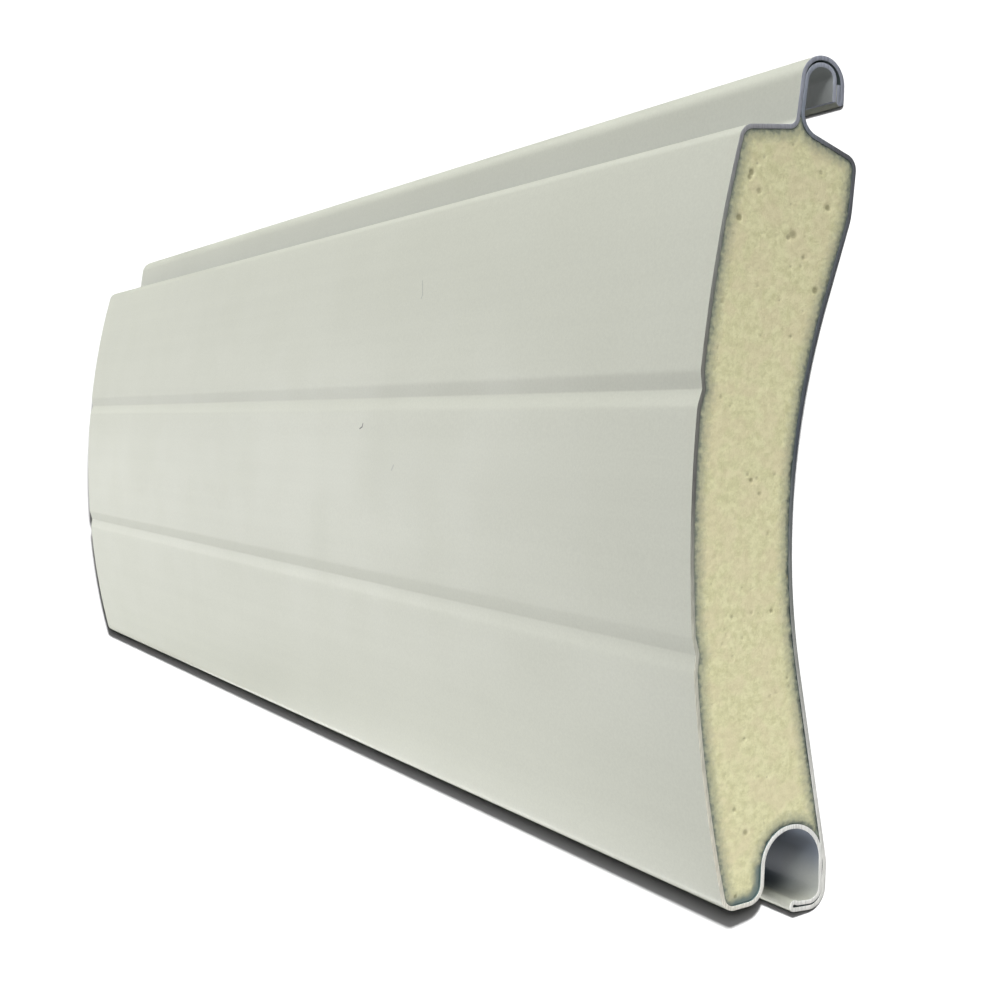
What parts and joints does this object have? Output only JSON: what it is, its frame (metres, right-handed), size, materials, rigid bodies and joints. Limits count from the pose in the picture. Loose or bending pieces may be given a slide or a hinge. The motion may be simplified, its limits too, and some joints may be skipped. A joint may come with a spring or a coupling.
{
  "type": "insulated roller shutter slat",
  "caption": "Short cut length of foam-filled roller shutter slat: roll-formed painted skin with a hook edge, a bowed beaded front, a hollow back and a hemmed channel edge.",
  "frame": {"origin": "centre of the slat's length and width, on the plane that its back lies on", "axes": "+X along the slat towards the sawn end seen close in the picture, +Y from the channel edge to the hook edge, +Z out of the bowed front face"},
  "size_m": [0.227, 0.086, 0.0191],
  "materials": {
    "skin_paint": "satin pale warm-grey coil paint on thin aluminium strip",
    "foam": "sawn rigid polyurethane foam, pale yellow"
  },
  "bodies": {
    "root": {"aluminium_skin": "skin_paint", "foam_core": "foam"}
  },
  "joints": []
}
